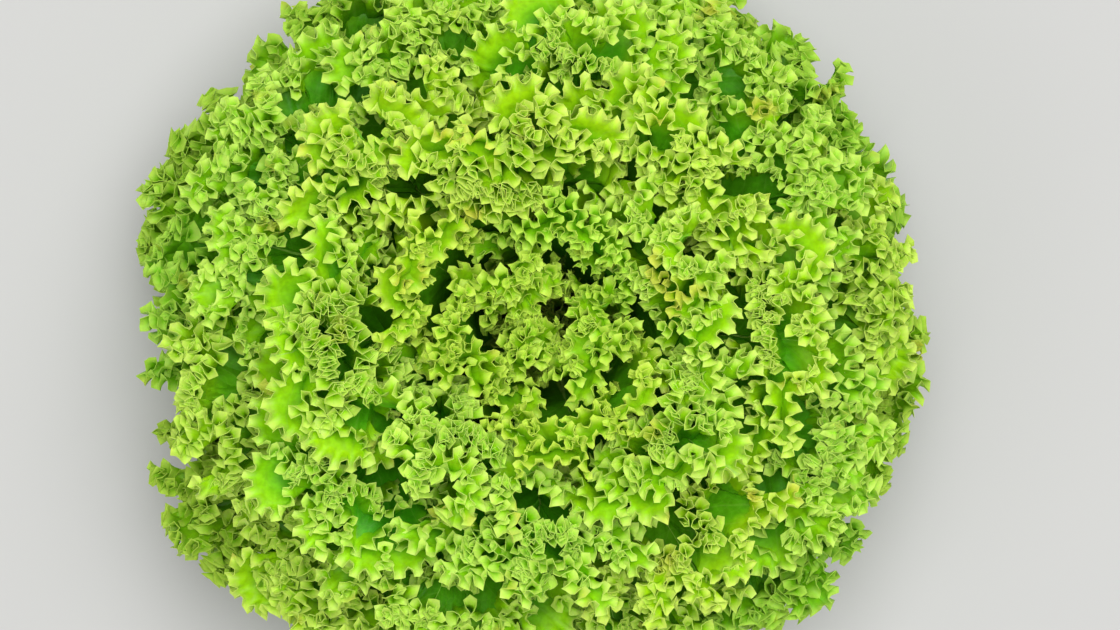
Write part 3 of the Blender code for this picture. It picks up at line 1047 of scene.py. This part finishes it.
stemColours = ("side", "cut", "ring", "latex")
stemLooks = {
    "side": (0.50, 0.62, 0.26),
    "cut": (0.70, 0.72, 0.44),
    "ring": (0.38, 0.52, 0.18),
    "latex": (0.42, 0.22, 0.07),
    "ringRadii": (0.0118, 0.0134, 0.0150),
    "ringShare": 0.8,
    "ringWobble": ((0.3, 0.7), (-0.0006, 0.0006)),
    "cutHeight": 0.0004,
    "stainDensity": 240.0,
    "stainsOutwards": (0.1, 1.0),
    "stains": ((0.50, 0.66), (0.0, 0.75)),
    "fibreDensity": 1100.0,
    "fibreStretch": 0.12,
    "fibreStrength": 0.4,
    "fibreHeight": 0.0005,
    "streaks": ((0.35, 0.7), (0.0, 0.35)),
    "streakTint": (0.78, 0.86, 0.60, 1.0),
    "roughness": ((0.3, 0.7), (0.38, 0.56)),
}

stemTissue = {"Subsurface Weight": 0.20, "Subsurface Radius": (1.0, 0.9, 0.4), "Subsurface Scale": 0.0020}


def makeStemSkin():
    skin, given = startGroup("stemSkin", stemColours)
    place = addNode(skin, "TexCoord").outputs["Object"]
    parts = addNode(skin, "SeparateXYZ", {0: place})
    level = {0: place, 1: (1.0, 1.0, 0.0)}
    flat = addNode(skin, "VectorMath", level, operation="MULTIPLY").outputs[0]
    radius = addNode(skin, "VectorMath", {0: flat}, operation="LENGTH").outputs["Value"]
    grain = noise(skin, place, stemLooks["stainDensity"], 3.0)
    values = {"Vector": place, "Scale": (1.0, 1.0, stemLooks["fibreStretch"])}
    stretched = addNode(skin, "Mapping", values).outputs[0]
    fibres = noise(skin, stretched, stemLooks["fibreDensity"], 2.0)

    # The cut face, with a ring near its rim and dried sap
    inner, middle, outer = stemLooks["ringRadii"]
    wobbled = calculated(skin, "ADD", radius, ranged(skin, grain, *stemLooks["ringWobble"]))
    ringIn = ranged(skin, wobbled, (inner, middle), (0.0, 1.0), True)
    ringOut = fading(skin, wobbled, (middle, outer))
    ring = times(skin, ringIn, ringOut)
    ring = times(skin, ring, stemLooks["ringShare"])
    cut = blended(skin, ring, given["Cut Color"], given["Ring Color"])
    outwards = ranged(skin, wobbled, (inner, outer), stemLooks["stainsOutwards"])
    stains = ranged(skin, grain, *stemLooks["stains"], True)
    stains = times(skin, outwards, stains)
    cut = blended(skin, stains, cut, given["Latex Color"])

    # The side, with upright fibres
    onCut = fading(skin, parts.outputs["Z"], (0.0, stemLooks["cutHeight"]))
    streaks = ranged(skin, fibres, *stemLooks["streaks"])
    side = blended(skin, streaks, given["Side Color"], stemLooks["streakTint"], "MULTIPLY")
    colour = blended(skin, onCut, side, cut)
    bump = bumped(skin, fibres, stemLooks["fibreStrength"], stemLooks["fibreHeight"])
    rough = ranged(skin, grain, *stemLooks["roughness"])
    endGroup(skin, {"Color": colour, "Roughness": rough, "Normal": bump})
    return skin


def stemMaterial():
    material, tree, shader = startMaterial("stem")
    placeGroup(tree, makeStemSkin(), shader, colourSockets(stemLooks, stemColours))
    setSockets(shader, stemTissue)
    return material


def makeStem(material):
    # A turned profile: cut face, bevelled rim, straight side, domed top
    bevel = stemForm["cutBevel"]
    radius = stemForm["radius"]
    angles = np.linspace(0.0, 0.5 * np.pi, stemForm["rings"])
    sides = np.linspace(bevel, stemForm["shoulder"], stemForm["sideRings"])[:-1]
    cutRadii = np.linspace(0.0, radius - bevel, stemForm["cutRings"])
    capZ = stemForm["shoulder"] + stemForm["cap"] * np.sin(angles)
    profileR = np.concatenate((cutRadii, np.full(len(sides), radius), radius * np.cos(angles)))
    profileZ = np.concatenate((np.zeros(len(cutRadii)), sides, capZ))
    bpy.ops.object.select_all(action="DESELECT")
    bpy.ops.mesh.primitive_grid_add(x_subdivisions=1, y_subdivisions=len(profileR) - 1, size=2.0)
    stem = bpy.context.object
    stem.name = "stem_core"
    stem.data.name = stem.name
    bpy.ops.object.mode_set(mode="EDIT")
    bpy.ops.mesh.select_mode(type="VERT")
    bpy.ops.mesh.select_all(action="DESELECT")
    profile = bmesh.from_edit_mesh(stem.data)
    for vert in profile.verts:
        vert.select_set(vert.co.x > 0.0)
        step = int(round((vert.co.y + 1.0) / 2.0 * (len(profileR) - 1)))
        vert.co = (profileR[step], 0.0, profileZ[step])
    bmesh.update_edit_mesh(stem.data)
    bpy.ops.mesh.delete(type="VERT")
    bpy.ops.mesh.select_all(action="SELECT")
    middle, upright = (0.0, 0.0, 0.0), (0.0, 0.0, 1.0)
    bpy.ops.mesh.spin(steps=stemForm["sides"], angle=2.0 * math.pi, center=middle, axis=upright)
    bpy.ops.mesh.select_all(action="SELECT")
    bpy.ops.mesh.remove_doubles(threshold=mergeDistance)
    bpy.ops.mesh.normals_make_consistent(inside=False)
    bpy.ops.object.mode_set(mode="OBJECT")
    # Low lumps where the leaves grow out, none near the cut face
    places = numbersOf(stem.data.vertices, "co", 3)
    turn = np.arctan2(places[:, 1], places[:, 0])
    waves = [np.sin(across * turn + up * places[:, 2]) for across, up in stemForm["lumpWaves"]]
    sunk = 0.5 * stemForm["lumpSize"] / radius * (2.0 + sum(waves))
    places[:, :2] *= (1.0 - sunk * ease(*stemForm["lumpBand"], places[:, 2]))[:, None]
    stem.data.vertices.foreach_set("co", places.ravel())
    selectOnly(stem)
    bpy.ops.object.shade_smooth_by_angle(angle=math.radians(stemForm["sharpAngle"]))
    stem.data.materials.clear()
    stem.data.materials.append(material)
    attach(stem, "root")
    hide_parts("stem")


floorSetup = {"size": 6.0, "height": -0.0002, "colour": (0.58, 0.58, 0.575, 1.0), "roughness": 0.8}


def makeFloor():
    bpy.ops.object.select_all(action="DESELECT")
    bpy.ops.mesh.primitive_plane_add(size=floorSetup["size"], location=(0.0, 0.0, floorSetup["height"]))
    floor = bpy.context.object
    floor.name = "floor"
    material, _, shader = startMaterial("floor")
    setSockets(shader, {"Base Color": floorSetup["colour"], "Roughness": floorSetup["roughness"]})
    floor.data.materials.append(material)


lightSetup = (
    {"name": "overhead", "place": (0.25, 0.35, 1.9), "size": 1.6, "power": 36.0},
    {"name": "fill", "place": (-1.3, -1.0, 1.3), "size": 1.4, "power": 6.0},
)
lightAim = (0.0, 0.0, 0.07)
worldLight = {"Color": (1.0, 0.99, 0.96, 1.0), "Strength": 0.39}


def makeLights():
    for setup in lightSetup:
        bpy.ops.object.light_add(type="AREA", location=setup["place"])
        light = bpy.context.object
        light.name = setup["name"]
        light.data.size = setup["size"]
        light.data.energy = setup["power"]
        toHead = Vector(lightAim) - light.location
        light.rotation_euler = toHead.to_track_quat("-Z", "Y").to_euler()
    world = bpy.data.worlds.new("studio")
    world.use_nodes = True
    setSockets(world.node_tree.nodes["Background"], worldLight)
    bpy.context.scene.world = world


cameraSetup = {
    "imageSize": (1120, 630),
    "heartPixel": (539, 320),
    "headWidthPixels": 788,
    "headWidth": 0.272,
    "widestHeight": 0.05,
    "lens": 90.0,
    "sensor": 36.0,
}


def makeCamera():
    setup = cameraSetup
    perPixel = setup["headWidth"] / setup["headWidthPixels"]
    width, height = setup["imageSize"]
    focalPixels = setup["lens"] / setup["sensor"] * width
    x = (0.5 * width - setup["heartPixel"][0]) * perPixel
    y = (setup["heartPixel"][1] - 0.5 * height) * perPixel
    z = setup["widestHeight"] + focalPixels * perPixel
    bpy.ops.object.camera_add(location=(x, y, z), rotation=(0.0, 0.0, 0.0))
    camera = bpy.context.object
    camera.name = "photoCamera"
    camera.data.lens = setup["lens"]
    camera.data.sensor_width = setup["sensor"]
    bpy.context.scene.camera = camera


def trianglesOf(piece):
    return sum(polygon.loop_total - 2 for polygon in piece.data.polygons)


def main():
    bpy.context.scene.view_settings.view_transform = "Standard"
    makeFloor()
    makeLights()
    makeCamera()
    print("stage ready")
    leaves = drawLeaves()
    patterns = {}
    for columns in sorted({leaf["columns"] for leaf in leaves}):
        patterns[columns] = makePattern(columns, len(patternRows) - 1, doublingRows)
    crestSteps = len(crestForm["rows"]) - 1
    patterns["crest"] = makePattern(crestForm["columns"], crestSteps, crestForm["doublingRows"])
    skin = makeLeafSkin()
    materials = {group[0]: leafMaterial(group[0], skin) for group in leafGroups}
    makeStem(stemMaterial())
    print("stem made")
    triangles = 0
    for leaf in leaves:
        triangles += trianglesOf(makeLeaf(leaf, patterns, materials[leaf["group"]]))
    print("leaves made")
    triangles += trianglesOf(makeBud(patterns, materials["heart_leaf"]))
    print("bud made, triangles in leaves and bud:", triangles)
    for pattern in patterns.values():
        bpy.data.objects.remove(pattern)


main()
